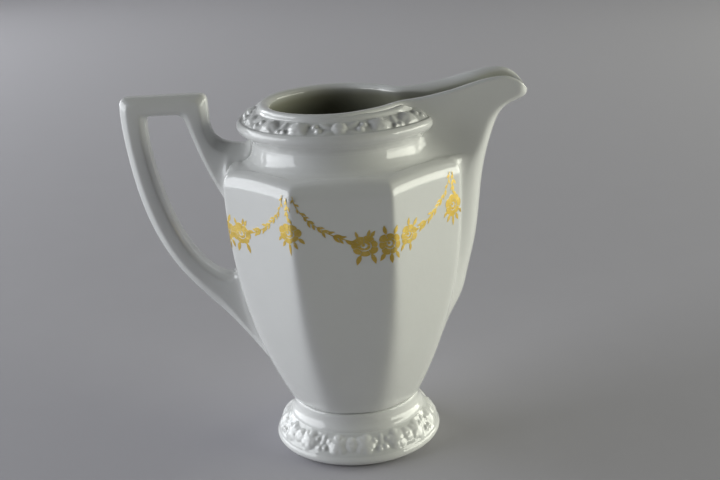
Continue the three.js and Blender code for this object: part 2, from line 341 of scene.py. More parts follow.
def shoulder_profile(edge_radius, edge_z):
    """From the top of the belly over the shoulder and up the neck: lists of radius and height."""
    corners = [(edge_radius - inset, edge_z + rise) for inset, rise in SHOULDER_ROLL]
    corners += [(r + 0 * edge_radius, z + 0 * edge_radius) for r, z in NECK_PROFILE]
    radii, heights = (np.array(side) for side in zip(*corners))
    steps = np.hypot(np.diff(radii, axis=0), np.diff(heights, axis=0)).mean(1)
    along = np.concatenate([[0], np.cumsum(steps)])
    at = np.linspace(0, along[-1], 46)
    r, z = (smooth_columns(along, side, at) for side in (radii, heights))
    for height in np.linspace(114.8, OUTER_TOP, 12):
        r.append(mix(28.3, MOUTH_EDGE, smoothstep(height, 117, OUTER_TOP)) + 0 * edge_radius)
        z.append(height + 0 * edge_radius)
    return r, z


def smooth_columns(along, values, at):
    """A curve through rows of values, read at the distances given, as a list of rows."""
    bases = [spline(np.c_[along, np.eye(len(along))[k]])(at) for k in range(len(along))]
    return list(np.stack(bases, 1) @ values)


STRETCH_FROM = 111.0  # above this the rows climb to the lip's own height


def stretch(z, top, lip_height):
    share = np.clip((z - STRETCH_FROM) / (top - STRETCH_FROM), 0, None)
    return np.where(z > STRETCH_FROM, STRETCH_FROM + share * (lip_height - STRETCH_FROM), z)


def vessel_skin():
    """The whole cast body as one closed grid of points: outside, over the lip, and down the inside."""
    belly_half, lip_half = column_angles()
    belly, lip = both_sides(belly_half), both_sides(lip_half)
    crest_r, crest_z, out_wide, out_deep, in_wide, in_deep = lip_edge(lip)
    crest = from_polar(crest_r, lip, crest_z)
    along = unit(np.roll(crest, -1, 0) - np.roll(crest, 1, 0))
    forward = 0.8 * smoothstep(crest[:, 0], TIP_X - 7, TIP_X)
    up = unit(np.stack([forward, 0 * forward, 1 + 0 * forward], -1))
    outward = unit(np.cross(along, up))
    up = unit(np.cross(outward, along))
    edge = crest + outward * out_wide[:, None] - up * out_deep[:, None]
    behind = len(lip_half) - 1  # the column opposite the spout
    edge_r, edge_angle, edge_z = to_polar(edge, behind)

    rows = []
    underside = from_polar(np.full(belly.shape, 1.0), belly, np.full(belly.shape, SEAM_Z))
    for share in (0.02, 0.35, 0.7, 0.93):
        rows.append(underside * [SEAM_RADIUS * share, SEAM_RADIUS * share, 1])
    for rise, tuck in ((0.05, 0.8), (0.3, 0.4), (0.65, 0.12)):
        z = np.full(belly.shape, SEAM_Z + rise)
        rows.append(from_polar(body_radius(belly, z) - tuck, belly, z))
    edge_body = body_radius(belly, np.full(belly.shape, SHOULDER_Z))
    shoulder_z = SHOULDER_Z + (CORNER_RADIUS - edge_body) * 0.25
    first_outer = len(rows)
    for share in np.linspace(0, 1, 60)[:-1]:
        z = mix(SEAM_Z + 1.2, shoulder_z - SHOULDER_DROP, share)
        rows.append(from_polar(outer_radius(belly, z, body_radius(belly, z)), belly, z))
    for r, z in zip(*shoulder_profile(edge_body, shoulder_z)):
        share = smoothstep(z, 106, 121)
        angle = mix(belly, edge_angle, share)
        height = stretch(z, OUTER_TOP, edge_z)
        radius = outer_radius(angle, height, r)
        landing = smoothstep(z, 117, OUTER_TOP)
        rows.append(from_polar(mix(radius, edge_r, landing**2), angle, height))
    last_outer = len(rows) - 1

    # Over the lip: a quarter of an ellipse outside the crest, and a broader one inside.
    for degrees, aside, wide, deep in (
        ((15, 30, 45, 60, 75, 90), outward, out_wide, out_deep),
        ((75, 62, 50, 38, 26, 14, 5), -outward, in_wide, in_deep),
    ):
        for turn in np.radians(degrees):
            reach, drop = wide * math.cos(turn), deep * (math.sin(turn) - 1)
            rows.append(crest + (aside * reach[:, None] + up * drop[:, None]))
    inner_r, inner_angle, inner_z = to_polar(rows[-1], behind)

    # Down the inside, with as many rows as the outside has.
    inside = inside_profile(belly, last_outer - first_outer)
    top = inside[0][1]

    def lining(r, angle, height):
        spout = prow_radius(angle, lambda x: np.broadcast_to(height, x.shape), lambda x: SPOUT_WALL)
        return soft_max(r, spout, 9.0)

    miss = inner_r - lining(inside[0][0], inner_angle, inner_z)
    for r, z in inside[1:]:
        share = 1 - smoothstep(z, 100, 119)
        angle = mix(inner_angle, belly, share)
        height = stretch(z, top, inner_z)
        radius = lining(r, angle, height) + miss * np.exp(-np.maximum(inner_z - height, 0) / 3.0)
        rows.append(from_polar(radius, angle, height))
    last_inner = len(rows) - 1
    floor_r = np.hypot(rows[-1][:, 0], rows[-1][:, 1])
    for share, drop in ((0.9, 0.55), (0.8, 0.85), (0.6, 0.97), (0.3, 1.0), (0.02, 1.0)):
        z = np.full(belly.shape, mix(rows[last_inner][0, 2], FLOOR_Z - 0.6, drop))
        rows.append(from_polar(floor_r * share, belly, z))
    return np.array(rows), first_outer, last_outer, last_inner


def inside_profile(belly, count):
    """Radius and height down the vessel's inside, from the lip to the floor's edge."""
    neck = spline([(106, 27.6), (109, 26.6), (112, 25.6), (116, 24.2), (120, 22.9), (INNER_TOP, 22.3)])
    neck_rows, turn_rows = 24, 14
    profile = []
    for z in np.linspace(INNER_TOP, NECK_FOOT_Z, neck_rows):
        profile.append((neck(z) + 0 * belly, z + 0 * belly))
    wall_r = body_radius(belly, WALL_TOP_Z + 0 * belly) - WALL
    turn_r, turn_z = 29.4, 102.6  # what the widening curve leans towards
    for t in np.linspace(0, 1, turn_rows + 1)[1:]:
        a, b, c, d = (1 - t) ** 3, 3 * t * (1 - t) ** 2, 3 * t * t * (1 - t), t**3
        r = a * neck(NECK_FOOT_Z) + b * turn_r + c * wall_r + d * wall_r
        z = a * NECK_FOOT_Z + b * turn_z + c * turn_z + d * WALL_TOP_Z
        profile.append((r, z + 0 * belly))
    rest = count - neck_rows - turn_rows
    for t in np.linspace(0, 1, rest + 1)[1:]:
        z = mix(WALL_TOP_Z, FLOOR_Z + 4.0, t) + 0 * belly
        round_in = 2.2 * smoothstep(z, FLOOR_Z + 10, FLOOR_Z + 3) ** 2
        profile.append((body_radius(belly, z) - WALL - round_in, z))
    return profile


def split_grid(points, first_row, last_row, columns):
    """A block of the closed skin as its own cast, and the rest, with the cut wall closed on both.

    The block holds rows first_row to last_row and the columns within columns of column 0. Its skin
    folds over the lip, so the cut is closed between each row outside and its partner inside.
    """
    count = points.shape[1]
    block_faces, rest_faces = [], []

    def index(row, column):
        return row * count + column % count

    for row in range(len(points) - 1):
        for column in range(count):
            signed = column if column < count / 2 else column - count
            inside = first_row <= row < last_row and -columns <= signed < columns
            face = (
                index(row, column),
                index(row, column + 1),
                index(row + 1, column + 1),
                index(row + 1, column),
            )
            (block_faces if inside else rest_faces).append(face)
    cut = []
    for a in range(-columns, columns):
        b = a + 1
        cut.append((index(first_row, b), index(first_row, a), index(last_row, a), index(last_row, b)))
    for step in range((last_row - first_row) // 2):
        outer, inner = first_row + step, last_row - step
        for column, flip in ((-columns, False), (columns, True)):
            wall = (
                index(outer, column),
                index(outer + 1, column),
                index(inner - 1, column),
                index(inner, column),
            )
            cut.append(wall[::-1] if flip else wall)
    block_faces += cut
    rest_faces += [face[::-1] for face in cut]
    for row, turned in ((0, True), (len(points) - 1, False)):
        cap = [index(row, column) for column in range(count)]
        rest_faces.append(tuple(cap[::-1] if turned else cap))
    return block_faces, rest_faces


def make_cast(name, points, normals, faces, node, inside):
    """A piece from some of the skin's faces, keeping the whole skin's normals so that no joint shows."""
    used = sorted({i for face in faces for i in face})
    number = {old: new for new, old in enumerate(used)}
    faces = [tuple(number[i] for i in face) for face in faces]
    points, normals = points.reshape(-1, 3)[used], normals.reshape(-1, 3)[used]
    # Below 0: how much shade is painted inside the jug.
    shades = -inside.reshape(-1)[used]
    make_piece(name, points, faces, PORCELAIN, [node], normals, shades)


# ---------------------------------------------------------------- relief
class Relief:
    """Fruit and leaves in low relief on a band that repeats every period millimetres."""

    def __init__(self, period):
        self.period = period
        self.motifs = []

    def place(self, shape, u, v, turn=0.0, **sizes):
        self.motifs.append((shape, u, v, math.radians(turn), sizes))

    def height(self, u, v):
        total = np.zeros(np.broadcast(u, v).shape)
        for shape, u0, v0, turn, sizes in self.motifs:
            du = (u - u0 + self.period / 2) % self.period - self.period / 2
            dv = v - v0
            along = du * math.cos(turn) + dv * math.sin(turn)
            across = dv * math.cos(turn) - du * math.sin(turn)
            total = soft_max(total, shape(along, across, **sizes), 0.22)
        return total


def fruit(a, b, size, high):
    away = np.hypot(a, b) / size
    dimple = 0.22 * high * np.exp(-((away / 0.22) ** 2))
    return high * np.clip(1 - away * away, 0, None) ** 0.62 - dimple


def berry(a, b, size, high):
    away = np.hypot(a, b) / size
    return high * np.clip(1 - away * away, 0, None) ** 0.55


def rosette(a, b, size, high, petals=5):
    angle = np.arctan2(b, a)
    away = np.hypot(a, b)
    edge = size * (0.86 + 0.14 * np.abs(np.cos(angle * petals / 2)))
    bowl = np.clip(1 - (away / edge) ** 2, 0, None) ** 0.5
    cupped = 0.62 + 0.38 * np.sin(np.clip(away / edge, 0, 1) * math.pi)
    between = np.exp(-((np.cos(angle * petals / 2) / 0.24) ** 2))
    valley = 1 - 0.3 * between * smoothstep(away / edge, 0.25, 0.7)
    button = 0.42 * high * np.exp(-((away / (0.25 * size)) ** 2))
    return high * bowl * cupped * valley + button


def leaf(a, b, size, wide, high=0.65):
    along = np.clip((a / size + 1) / 2, 0, 1)
    inside = np.abs(a) < size
    half = wide * np.clip(np.sin(math.pi * along**0.8), 0, None) ** 0.8 + 1e-6
    side = np.clip(1 - (b / half) ** 2, 0, None)
    rib = 0.2 * high * np.exp(-((b / 0.16) ** 2))
    veins = 0.07 * high * np.cos((a - 1.3 * np.abs(b)) * 6.5)
    return np.where(inside, side**0.6 * (high * (0.7 + 0.3 * along) - rib + veins), 0)


def glazed(lift, passes=5):
    """Relief as it looks through the glaze, which fills its hollows and softens its edges."""
    for _ in range(passes):
        for axis in (0, 1):
            lift = (np.roll(lift, 1, axis) + 2 * lift + np.roll(lift, -1, axis)) / 4
    return lift


def frieze_relief(period, middle):
    """One repeat: two rosettes side by side, then fruit, berries and leaves up to the next pair."""
    relief = Relief(period)
    left, right = period * 0.12, period * 0.12 + 11.6
    for centre, turn in ((left, 0), (right, 25)):
        relief.place(rosette, centre, middle, turn, size=3.9, high=1.3)
    fruits = (right + left + period) / 2
    relief.place(leaf, (left + right) / 2, middle + 1.1, 80, size=2.2, wide=1.1)
    relief.place(berry, (left + right) / 2 - 0.9, middle - 1.9, size=1.1, high=1.0)
    relief.place(berry, (left + right) / 2 + 1.1, middle - 1.7, size=1.1, high=1.0)
    relief.place(fruit, fruits, middle + 0.2, size=2.6, high=1.25)
    for side in (-1, 1):
        relief.place(leaf, fruits + side * 4.3, middle + 1.3, 90 - side * 62, size=2.7, wide=1.15)
        relief.place(leaf, fruits + side * 4.0, middle - 1.9, side * 66 - 90, size=2.3, wide=1.0)
        relief.place(berry, fruits + side * 6.6, middle - 0.9, size=1.15, high=1.0)
        relief.place(berry, fruits + side * 8.0, middle + 0.9, size=1.1, high=1.0)
    return relief


def profile_curve(points, count):
    """An even curve through (radius, height) points, by their distance along it, with its normals."""
    points = np.array(points, float)
    along = np.concatenate([[0], np.cumsum(np.linalg.norm(np.diff(points, axis=0), axis=1))])
    r_at, z_at = spline(np.c_[along, points[:, 0]]), spline(np.c_[along, points[:, 1]])
    at = np.linspace(0, along[-1], count)
    r, z = r_at(at), z_at(at)
    normal = unit(np.stack([np.gradient(z, at), -np.gradient(r, at)], -1))
    return at, r, z, normal


# ---------------------------------------------------------------- shader tools
class Field:
    """A node's output, with Python's arithmetic."""

    def __init__(self, shader, socket):
        self.shader, self.socket = shader, socket

    def _math(self, operation, first, second):
        return self.shader.node("ShaderNodeMath", {"operation": operation}, {0: first, 1: second})

    def __add__(self, other):
        return self._math("ADD", self, other)

    def __sub__(self, other):
        return self._math("SUBTRACT", self, other)

    def __rsub__(self, other):
        return self._math("SUBTRACT", other, self)

    def __mul__(self, other):
        return self._math("MULTIPLY", self, other)

    __radd__ = __add__
    __rmul__ = __mul__

    def between(self, low, high, to_low=0.0, to_high=1.0):
        """Eased from to_low to to_high as this goes from low to high."""
        settings = {"interpolation_type": "SMOOTHSTEP", "clamp": True}
        inputs = {"Value": self, "From Min": low, "From Max": high, "To Min": to_low, "To Max": to_high}
        return self.shader.node("ShaderNodeMapRange", settings, inputs)


class Shader:
    """A material under construction."""

    def __init__(self, name):
        self.material = bpy.data.materials.new(name)
        self.material.use_nodes = True
        self.tree = self.material.node_tree
        self.tree.nodes.clear()
        self.place = self.node("ShaderNodeTexCoord", output="Object")

    def node(self, kind, settings=None, inputs=None, output=0):
        made = self.tree.nodes.new(kind)
        for key, value in (settings or {}).items():
            setattr(made, key, value)
        for key, value in (inputs or {}).items():
            if isinstance(value, Field):
                self.tree.links.new(value.socket, made.inputs[key])
            else:
                made.inputs[key].default_value = value
        return Field(self, made.outputs[output])

    def noise(self, scale, detail=3.0, roughness=0.5):
        inputs = {"Vector": self.place, "Scale": scale, "Detail": detail, "Roughness": roughness}
        return self.node("ShaderNodeTexNoise", None, inputs)

    def blend(self, share, first, second):
        """A colour between two colours."""
        settings = {"data_type": "RGBA", "clamp_factor": True}
        return self.node("ShaderNodeMix", settings, {0: share, 6: first, 7: second}, output=2)

    def bump(self, height, strength, distance):
        inputs = {"Height": height, "Strength": strength, "Distance": distance}
        return self.node("ShaderNodeBump", None, inputs)

    def finish(self, **sockets):
        named = {key.replace("_", " "): value for key, value in sockets.items()}
        surface = self.node("ShaderNodeBsdfPrincipled", None, named)
        end = self.tree.nodes.new("ShaderNodeOutputMaterial")
        self.tree.links.new(surface.socket, end.inputs["Surface"])
        return self.material


def porcelain():
    """White porcelain under a clear glaze, painted darker as shade in the relief's hollows, where the glaze
    pools, and painted much darker as shade inside the jug.

    The ring that the foot stands on is left bare.
    """
    shader = Shader("glazed_porcelain")
    height = shader.node("ShaderNodeSeparateXYZ", None, {0: shader.place}, output=2)
    bare = 1 - height.between(0.00012, 0.0005)
    pool_and_shade = shader.node("ShaderNodeAttribute", {"attribute_name": "glaze_pool_and_painted_shade"}, output=2)
    drift = shader.noise(26.0, 2.0)
    cloud = shader.noise(95.0, 3.0)
    tone = shader.blend(drift, (0.695, 0.70, 0.685, 1), (0.72, 0.725, 0.715, 1))
    tone = shader.blend(cloud.between(0.35, 0.75, 0.0, 0.25), tone, (0.745, 0.75, 0.735, 1))
    # Painted shade: greyer in the relief's hollows, where the glaze pools.
    tone = shader.blend(pool_and_shade * 0.35, tone, (0.52, 0.535, 0.52, 1))
    # Painted shade: darker and yellower inside the jug.
    tone = shader.blend(pool_and_shade * -1.0, tone, (0.30, 0.30, 0.235, 1))
    cells = {"Vector": shader.place, "Scale": 115.0}
    grain = shader.node("ShaderNodeTexVoronoi", {"feature": "F1"}, cells)
    chosen = shader.node("ShaderNodeTexVoronoi", {"feature": "F1"}, cells, output=1)
    lone = shader.node("ShaderNodeSeparateColor", None, {0: chosen}, output=0).between(0.955, 0.96)
    speck = (1 - grain.between(0.02, 0.045)) * lone
    tone = shader.blend(speck * 0.6, tone, (0.23, 0.20, 0.16, 1))
    biscuit = shader.noise(900.0, 2.0)
    tone = shader.blend(bare, tone, (0.70, 0.67, 0.61, 1))
    rough = 0.02 + cloud * 0.035 + shader.noise(420.0, 2.0) * 0.02 + bare * 0.5
    ripple = shader.noise(150.0, 2.0) * 0.75 + shader.noise(520.0, 2.0) * 0.25 + bare * biscuit * 0.6
    return shader.finish(
        Base_Color=tone,
        Roughness=rough,
        Normal=shader.bump(ripple, 0.16, 0.0005),
        IOR=1.45,
        Coat_Weight=(1 - bare) * 0.08,
        Coat_Roughness=0.03,
    )


def gilding():
    """Burnished gold, thinly painted, and rubbed through in tiny spots."""
    shader = Shader("burnished_gilding")
    cloud = shader.noise(240.0, 4.0)
    fine = shader.noise(1900.0, 3.0, 0.6)
    rubbed = (shader.noise(1300.0, 4.0, 0.65) + cloud * 0.3).between(0.80, 0.86)
    gold = shader.blend(cloud.between(0.35, 0.7), (0.80, 0.57, 0.13, 1), (0.90, 0.68, 0.20, 1))
    gold = shader.blend(fine.between(0.3, 0.75, 0.0, 0.3), gold, (0.60, 0.38, 0.07, 1))
    return shader.finish(
        Base_Color=shader.blend(rubbed, gold, (0.78, 0.76, 0.70, 1)),
        Metallic=1 - rubbed,
        Roughness=0.26 + fine * 0.16 + cloud * 0.08 - rubbed * 0.1,
        Normal=shader.bump(fine * 0.7 + cloud * 0.3, 0.22, 0.0001),
    )


def floor_finish():
    """Plain pale card with a faint grain, painted darker in front and paler towards the back as painted shade
    and light.
    """
    shader = Shader("pale_card")
    grain = shader.noise(40.0, 4.0, 0.6)
    deep = shader.node("ShaderNodeSeparateXYZ", None, {0: shader.place}, output=1)
    tone = shader.blend(grain, (0.43, 0.42, 0.45, 1), (0.45, 0.44, 0.47, 1))
    # Painted light: the card is paler towards the back and darker in front.
    tone = shader.blend(deep.between(0.1, 1.6), tone, (0.72, 0.705, 0.74, 1))
    return shader.finish(Base_Color=tone, Roughness=0.6 + grain * 0.1)


PORCELAIN = porcelain()
GILDING = gilding()


# ---------------------------------------------------------------- vessel and spout
def make_vessel_and_spout():
    """Two casts cut from one skin, which is returned for the handle to be joined to."""
    points, first_outer, last_outer, last_inner = vessel_skin()
    around = np.roll(points, -1, 1) - np.roll(points, 1, 1)
    normals = unit(np.cross(around, np.gradient(points, axis=0)))
    past_lip = np.arange(len(points)) - last_outer  # in rows; the inside is in shade from the 9th on
    # How much shade is painted on the inside of the jug, by rows past the lip.
    inside = np.broadcast_to(smoothstep(past_lip, 9, 17)[:, None], points.shape[:2])
    below_tip = points[first_outer:last_outer, 0, 2]
    spout_start = int(np.argmin(np.abs(below_tip - SPOUT_SEAM_Z))) + first_outer
    partner = last_inner - (spout_start - first_outer)
    spout_faces, vessel_faces = split_grid(points, spout_start, partner, SPOUT_COLUMNS)
    make_cast("spout_cast", points, normals, spout_faces, "spout", inside)
    make_cast("vessel_cast", points, normals, vessel_faces, "vessel", inside)
    return points


# ---------------------------------------------------------------- friezes and foot
def make_rim_frieze():
    """The sloping band of fruit and leaves under the mouth, broken where the spout leaves it."""
    columns = 860
    end = math.radians(20.6)
    angle = np.linspace(end, 2 * math.pi - end, columns)
    field_low, field_high = (32.7, 118.8), (27.9, 121.7)
    profile = [(29.9, 111.4), (30.1, 112.4), (30.9, 113.4), (32.4, 114.5), (33.9, 115.6)]
    profile += [(BEAD_RADIUS, 116.8), (34.6, 117.8), (34.1, 118.6), (33.5, 119.0), field_low]
    profile += [(31.6, 119.35), (29.6, 120.6), field_high, (27.5, 122.1), (27.2, 122.7), (26.6, 123.2)]
    profile += [(26.0, 123.4)]
    along, r, z, normal = profile_curve(profile, 96)
    start, stop = (along[np.argmin(np.hypot(r - at[0], z - at[1]))] for at in (field_low, field_high))
    radius, repeats = 30.6, 5
    period = 2 * math.pi * radius / repeats
    relief = frieze_relief(period, (start + stop) / 2)
    u, v = np.meshgrid(angle * radius, along)
    field = smoothstep(v, start - 0.5, start + 0.5) * (1 - smoothstep(v, stop - 0.5, stop + 0.4))

    # Each end is rounded off beside the spout, where the sunk field rises to the surface.
    from_end = (np.minimum(angle, 2 * math.pi - angle) - end) * radius
    rounded = np.sqrt(np.clip(1 - (1 - np.clip(from_end / 5.0, 0, 1)) ** 2, 0, 1))
    sunk = smoothstep(from_end, 1.8, 4.2)
    lift = glazed(relief.height(u, v)) * field * sunk + 0.75 * field * (1 - sunk)
    core, neck = 27.6, 30.0
    r, z = r[:, None], z[:, None]
    out_r = core + (r - core) * mix(0.35, 1.0, rounded)
    out_r = np.where(z < 113, np.maximum(out_r, np.minimum(r, neck)), out_r)
    out_r = out_r - 2.2 * smoothstep(z, 120.3, 122.0) * (1 - smoothstep(from_end, 0.5, 13))
    skin = from_polar(out_r + lift * normal[:, :1], angle[None, :], z + lift * normal[:, 1:])
    # Shade painted into the field's hollows, where the relief is low and the glaze pools.
    pool_and_shade = field * (1 - smoothstep(lift, 0.05, 0.6))
    back = from_polar(core - 0.1, angle[None, :], np.array([[122.0], [117.0], [112.0]]))
    points = np.concatenate([skin, back])
    rows = len(points)
    faces = grid_faces(rows, columns, closed=False)
    last = (rows - 1) * columns
    for c in range(columns - 1):
        faces.append((last + c, last + c + 1, c + 1, c))
    faces.append(tuple(row * columns for row in range(rows)))
    faces.append(tuple(row * columns + columns - 1 for row in range(rows))[::-1])
    shades = np.concatenate([pool_and_shade, np.zeros((3, columns))])
    make_piece("rim_frieze_relief", points, faces, PORCELAIN, ["rim_frieze"], shades=shades)


def make_foot():
    """The turned foot, hollow beneath: one outline, down the outside and up the hollow, spun round."""
    columns = 220
    angle = np.arange(columns) * 2 * math.pi / columns
    profile = [(16.9, SEAM_Z - 0.2), (21.4, SEAM_Z - 0.15), (22.2, SEAM_Z - 0.3), (22.5, SEAM_Z - 0.9)]
    profile += [(22.55, 15.4), (22.75, 13.7), (23.3, 12.6), (23.75, 11.9), (23.95, 11.3), (24.05, 10.8)]
    profile += [(25.0, 9.2), (26.4, 7.3), (28.1, 5.3), (29.1, 4.1), (29.5, 3.4), (29.65, 2.8), (29.4, 1.9)]
    profile += [(28.6, 1.0), (27.2, 0.3), (26.2, 0.02), (24.4, 0.0), (23.6, 0.2), (23.0, 0.8), (22.4, 2.0)]
    profile += [(20.8, 6.2), (19.0, 11.4), (17.6, 15.4), (16.9, SEAM_Z - 0.2)]
    _, r, z, _ = profile_curve(profile[::-1], 170)
    points = from_polar(r[:, None], angle[None, :], np.maximum(z, 0)[:, None])[:-1]
    make_piece("foot_cast", points, loop_faces(len(points), columns), PORCELAIN, ["foot"])


def loop_faces(rows, columns):
    """Quads over a ring whose rows also close on themselves."""
    faces = grid_faces(rows, columns)
    last = (rows - 1) * columns
    for c in range(columns):
        d = (c + 1) % columns
        faces.append((last + c, last + d, d, c))
    return faces


def make_foot_frieze():
    """The band of fruit and leaves on the foot's slope."""
    columns = 760
    angle = np.arange(columns) * 2 * math.pi / columns
    profile = [(29.3, 3.7), (29.1, 4.1), (28.3, 5.3), (26.6, 7.3), (25.2, 9.2), (24.1, 10.7), (23.7, 11.35)]
    along, r, z, normal = profile_curve(profile, 62)
    radius, repeats = 26.6, 8
    period = 2 * math.pi * radius / repeats
    relief = frieze_relief(period, along[-1] / 2)
    u, v = np.meshgrid(angle * radius, along)
    fade = smoothstep(v, 0.1, 1.2) * (1 - smoothstep(v, along[-1] - 1.3, along[-1] - 0.2))
    lift = glazed(relief.height(u, v)) * fade * 0.85
    skin = from_polar(r[:, None] + lift * normal[:, :1], angle[None, :], z[:, None] + lift * normal[:, 1:])
    # Shade painted into the band's hollows, where the relief is low and the glaze pools.
    pool_and_shade = fade * (1 - smoothstep(lift, 0.05, 0.55))
    back = from_polar(np.array([[23.2], [27.4]]), angle[None, :], np.array([[10.8], [4.4]]))
    points = np.concatenate([skin, back])
    shades = np.concatenate([pool_and_shade, np.zeros((2, columns))])
    faces = loop_faces(len(points), columns)
    make_piece("foot_frieze_relief", points, faces, PORCELAIN, ["foot_frieze"], shades=shades)


# ---------------------------------------------------------------- handle
def even_bspline(controls, at, closed):
    """Points of a uniform cubic B-spline at parameters counted in control points, along the first axis."""
    controls = np.asarray(controls, float)
    count = len(controls)
    base = np.floor(at).astype(int)
    t = (at - base).reshape((-1,) + (1,) * (controls.ndim - 1))
    rising, falling = 3 * t**3 - 6 * t**2 + 4, -3 * t**3 + 3 * t**2 + 3 * t + 1
    weights = [(1 - t) ** 3 / 6, rising / 6, falling / 6, t**3 / 6]
    total = 0
    for step, weight in zip((-1, 0, 1, 2), weights):
        index = (base + step) % count if closed else np.clip(base + step, 0, count - 1)
        total = total + weight * controls[index]
    return total


# The loop from its root in the neck, up the arm, along the top and down the back bar to its low root:
# the outside and the inside of the loop, as (x, z).
def handle_stations():
    back, top = HANDLE_BACK, HANDLE_TOP
    return [
        ((-24, 110.4), (-30, 78)),
        ((-29, 110.4), (-33.5, 81)),
        ((-34, 110.6), (-37.5, 86)),
        ((-38.2, 111.1), (-41.2, 92)),
        ((-41.4, 112.7), (-44.4, 98.6)),
        ((-43.2, 115.2), (-47.3, 105.6)),
        ((-43.8, 118.6), (-49.4, 111.8)),
        ((-43.8, 122.4), (-51.0, 117.0)),
        ((-43.8, top - 3.0), (-51.9, 119.8)),
        ((-44.0, top - 1.3), (-52.6, 120.9)),
        ((-44.9, top - 0.3), (-53.6, 121.6)),
        ((-46.8, top + 0.05), (-55.0, 121.8)),
        ((-52.5, top + 0.1), (-56.6, 121.8)),
        ((-63.5, top + 0.1), (-60.4, 121.8)),
        ((-70.6, top + 0.1), (-63.2, 121.8)),
        ((back + 1.8, top + 0.05), (-64.0, 121.6)),
        ((back + 0.4, top - 0.6), (-64.7, 120.9)),
        ((back - 0.1, top - 2.4), (-65.0, 119.4)),
        ((back - 0.1, 119), (-65.0, 114)),
        ((-72.6, 110), (-64.2, 106.5)),
        ((-71.4, 101), (-62.6, 98.5)),
        ((-69.4, 91.4), (-60.4, 90)),
        ((-66.6, 82), (-57.2, 81.2)),
        ((-62.6, 73.2), (-53.0, 73.4)),
        ((-57.6, 65.2), (-48.2, 67.6)),
        ((-51.6, 58.2), (-44.0, 64.8)),
        ((-46.0, 52.2), (-41.2, 64.0)),
        ((-41.0, 46.4), (-39.0, 65.4)),
        ((-36.4, 40.2), (-36.6, 67.6)),
        ((-32.4, 34.4), (-33.2, 69)),
        ((-28.5, 29), (-29, 70)),
    ]


def make_handle(skin):
    """A bevelled bar swept round the loop, flared where it meets the vessel's skin."""
    outer_bevel, inner_bevel = 2.2, 1.6
    half = HANDLE_HALF + 0.15
    ease = 0.4
    rings = []
    for (ox, oz), (ix, iz) in handle_stations():
        outer, inner = np.array([ox, 0, oz], float), np.array([ix, 0, iz], float)
        thick = np.linalg.norm(outer - inner)
        inward = (inner - outer) / thick
        lean = min(1.6, thick / 7.4)  # a mitred section is longer, so its bevels are too
        corners = [(0, half - outer_bevel), (outer_bevel * lean, half)]
        corners += [(thick - inner_bevel * lean, half), (thick, half - inner_bevel)]
        corners = [(depth, side) for depth, side in corners] + [(d, -s) for d, s in corners[::-1]]
        ring = []
        for i, corner in enumerate(corners):
            here = np.array(corner)
            for other in (corners[i - 1], corners[(i + 1) % len(corners)]):
                way = np.array(other) - here
                eased = here + way / np.linalg.norm(way) * ease
                ring.append(outer + inward * eased[0] + np.array([0, eased[1], 0]))
        rings.append(ring)
    rings = np.array(rings)
    last = len(rings) - 1
    at = np.concatenate(
        [np.linspace(0, 5, 56)[:-1], np.linspace(5, 22, 120)[:-1], np.linspace(22, last, 100)]
    )
    at = np.clip(at, 0, last - 1e-6)
    along = even_bspline(rings, at, closed=False)
    around = np.arange(0, rings.shape[1], 0.25)
    surface = even_bspline(along.transpose(1, 0, 2), around, closed=True).transpose(1, 0, 2)
    surface = fillet_on(surface, skin, 3.4)
    rows, columns = surface.shape[:2]
    faces = grid_faces(rows, columns)
    faces.append(tuple(range(columns))[::-1])
    faces.append(tuple((rows - 1) * columns + c for c in range(columns)))
    make_piece("handle_cast", surface, faces, PORCELAIN, ["handle"])


def fillet_on(surface, skin, radius):
    """Flares a swept skin where it comes down on the vessel, as slip fills the joint."""
    rows, columns = skin.shape[:2]
    tree = BVHTree.FromPolygons(skin.reshape(-1, 3).tolist(), grid_faces(rows, columns))
    across = np.roll(surface, -1, 1) - np.roll(surface, 1, 1)
    down = np.gradient(surface, axis=0)
    normals = unit(np.cross(across, down))
    flat = surface.reshape(-1, 3)
    flare = np.zeros(flat.shape)
    for i, (point, normal) in enumerate(zip(flat, normals.reshape(-1, 3))):
        near, facing, _, distance = tree.find_nearest(Vector(point))
        if distance > radius + 0.5:
            continue
        facing = np.array(facing)
        height = float(np.dot(point - np.array(near), facing))
        side = normal - np.dot(normal, facing) * facing
        length = np.linalg.norm(side)
        if length < 0.2:
            continue
        gap = radius - min(max(height, 0), radius)
        amount = (radius - math.sqrt(radius * radius - gap * gap)) * min(1, length * 1.5)
        flare[i] = side / length * amount * math.exp(min(height, 0) / 0.8)
    return surface + glazed(flare.reshape(surface.shape), 5)


# ---------------------------------------------------------------- gilding
GARLAND_Z = 88.0
FINE_ANGLES = np.linspace(0, math.pi, 3000)


def unroll():
    """Distance round the vessel's wall from the spout, at each of the fine angles."""
    points = from_polar(body_radius(FINE_ANGLES, GARLAND_Z + 0 * FINE_ANGLES), FINE_ANGLES, 0 * FINE_ANGLES)
    steps = np.linalg.norm(np.diff(points, axis=0), axis=1)
    return np.concatenate([[0], np.cumsum(steps)])


WALL_DISTANCE = unroll()


def distance_at(degrees):
    return float(np.interp(math.radians(degrees), FINE_ANGLES, WALL_DISTANCE))


